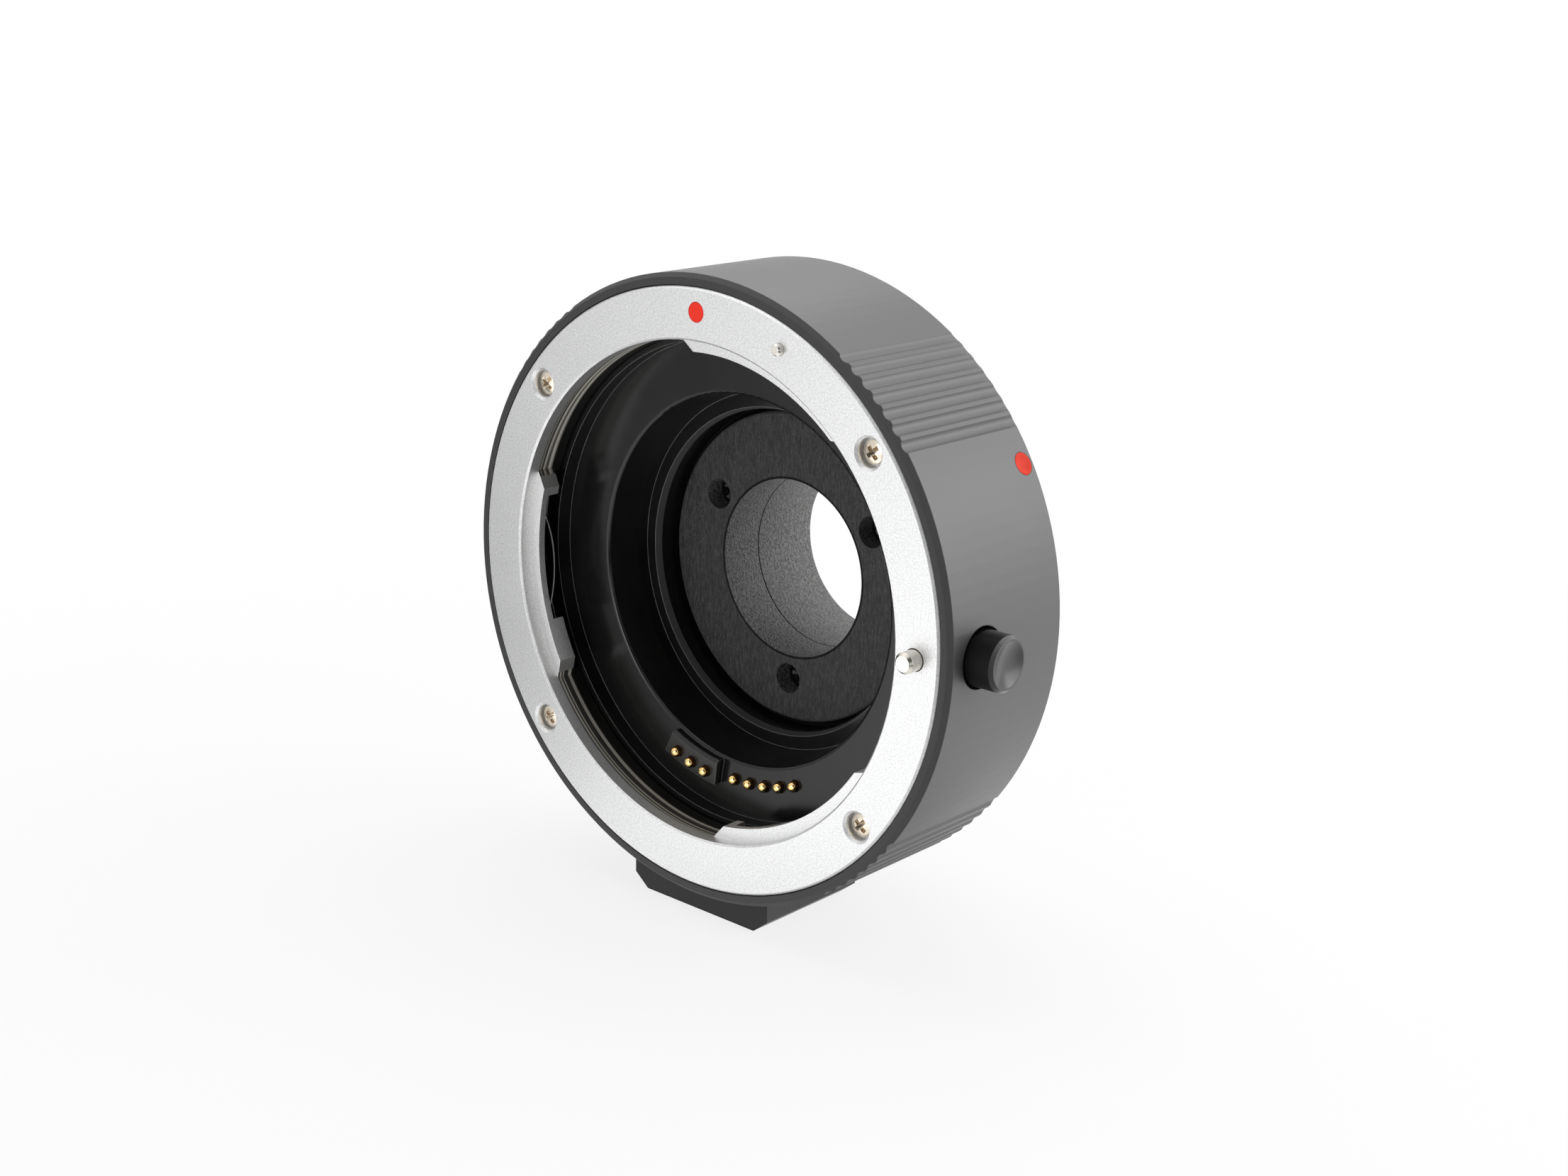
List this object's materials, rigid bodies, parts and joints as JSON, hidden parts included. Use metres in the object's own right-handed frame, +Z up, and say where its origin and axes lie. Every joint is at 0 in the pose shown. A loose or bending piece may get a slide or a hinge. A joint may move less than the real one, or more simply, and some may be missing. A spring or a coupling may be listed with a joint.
{
  "type": "lens mount adapter",
  "caption": "Short black ring adapter that carries a bayonet lens on a camera body with a shallower mount, with sprung contacts, a release button and a tripod foot.",
  "frame": {"origin": "on the optical axis in the plane of the lens flange", "axes": "-Y towards the lens, +Y towards the camera, +Z up with the tripod foot below, +X towards the release button"},
  "size_m": [0.0707, 0.032, 0.0699],
  "materials": {
    "black_anodised": "satin black anodised, fine grained",
    "ring_metal": "bead-blasted matt silver",
    "camera_ring_metal": "bead-blasted matt silver",
    "ring_spring": "bright rolled spring strip",
    "screw_steel": "nickel-plated",
    "black_screw": "blackened",
    "pin_steel": "polished",
    "red_paint": "glossy red",
    "liner_plastic": "semi-gloss moulded black",
    "baffle_plastic": "matt black moulding, grained against glare",
    "housing_plastic": "satin black moulding",
    "contact_gold": "gold plated",
    "sleeve_brass": "plain",
    "board_green": "green laminate",
    "chip_black": "matt black",
    "flex_amber": "amber film",
    "bush_brass": "turned"
  },
  "bodies": {
    "adapter": {"barrel": "black_anodised", "tripod_foot": "black_anodised", "tripod_bush": "bush_brass", "foot_screws": "black_screw", "lens_mount_ring": "ring_metal", "lens_mount_screws": "screw_steel", "leaf_springs": "ring_spring", "ring_stop_pin": "pin_steel", "lens_index_dot": "red_paint", "camera_index_dot": "red_paint", "inner_liner": "liner_plastic", "pin_sleeves": "sleeve_brass", "circuit_board": "board_green", "controller_chip": "chip_black", "flex_cable": "flex_amber", "front_baffle": "baffle_plastic", "baffle_screws": "black_screw", "rear_baffle": "baffle_plastic", "rear_housing": "housing_plastic", "rear_screws": "black_screw", "liner_screws": "black_screw", "camera_mount_ring": "camera_ring_metal", "camera_mount_screws": "screw_steel", "rear_contact_block": "liner_plastic", "rear_contact_pads": "contact_gold"},
    "release_button": {"release_button": "black_anodised"},
    "lock_pin": {"lock_pin": "pin_steel", "lock_spring": "ring_spring"},
    "contact_pin_1": {"contact_pin_1": "contact_gold", "pin_spring_1": "ring_spring"},
    "contact_pin_2": {"contact_pin_2": "contact_gold", "pin_spring_2": "ring_spring"},
    "contact_pin_3": {"contact_pin_3": "contact_gold", "pin_spring_3": "ring_spring"},
    "contact_pin_4": {"contact_pin_4": "contact_gold", "pin_spring_4": "ring_spring"},
    "contact_pin_5": {"contact_pin_5": "contact_gold", "pin_spring_5": "ring_spring"},
    "contact_pin_6": {"contact_pin_6": "contact_gold", "pin_spring_6": "ring_spring"},
    "contact_pin_7": {"contact_pin_7": "contact_gold", "pin_spring_7": "ring_spring"},
    "contact_pin_8": {"contact_pin_8": "contact_gold", "pin_spring_8": "ring_spring"}
  },
  "joints": [
    {"name": "release_press", "type": "slide", "parent": "adapter", "child": "release_button", "axis": [-1, 0, 0], "range_m": [0, 0.0018], "stiffness_N_per_m": 500, "springref_m": -0.001},
    {"name": "lock_pin_draw", "type": "slide", "parent": "adapter", "child": "lock_pin", "axis": [0, 1, 0], "range_m": [0, 0.0018], "stiffness_N_per_m": 500, "springref_m": -0.001, "deforming": ["lock_spring"]},
    {"name": "contact_press_1", "type": "slide", "parent": "adapter", "child": "contact_pin_1", "axis": [0, 1, 0], "range_m": [0, 0.0007], "stiffness_N_per_m": 400, "springref_m": -0.0006, "deforming": ["pin_spring_1"]},
    {"name": "contact_press_2", "type": "slide", "parent": "adapter", "child": "contact_pin_2", "axis": [0, 1, 0], "range_m": [0, 0.0007], "stiffness_N_per_m": 400, "springref_m": -0.0006, "deforming": ["pin_spring_2"]},
    {"name": "contact_press_3", "type": "slide", "parent": "adapter", "child": "contact_pin_3", "axis": [0, 1, 0], "range_m": [0, 0.0007], "stiffness_N_per_m": 400, "springref_m": -0.0006, "deforming": ["pin_spring_3"]},
    {"name": "contact_press_4", "type": "slide", "parent": "adapter", "child": "contact_pin_4", "axis": [0, 1, 0], "range_m": [0, 0.0007], "stiffness_N_per_m": 400, "springref_m": -0.0006, "deforming": ["pin_spring_4"]},
    {"name": "contact_press_5", "type": "slide", "parent": "adapter", "child": "contact_pin_5", "axis": [0, 1, 0], "range_m": [0, 0.0007], "stiffness_N_per_m": 400, "springref_m": -0.0006, "deforming": ["pin_spring_5"]},
    {"name": "contact_press_6", "type": "slide", "parent": "adapter", "child": "contact_pin_6", "axis": [0, 1, 0], "range_m": [0, 0.0007], "stiffness_N_per_m": 400, "springref_m": -0.0006, "deforming": ["pin_spring_6"]},
    {"name": "contact_press_7", "type": "slide", "parent": "adapter", "child": "contact_pin_7", "axis": [0, 1, 0], "range_m": [0, 0.0007], "stiffness_N_per_m": 400, "springref_m": -0.0006, "deforming": ["pin_spring_7"]},
    {"name": "contact_press_8", "type": "slide", "parent": "adapter", "child": "contact_pin_8", "axis": [0, 1, 0], "range_m": [0, 0.0007], "stiffness_N_per_m": 400, "springref_m": -0.0006, "deforming": ["pin_spring_8"]}
  ],
  "couplings": [
    {"joint": "lock_pin_draw", "follows": "release_press", "ratio": 1}
  ]
}
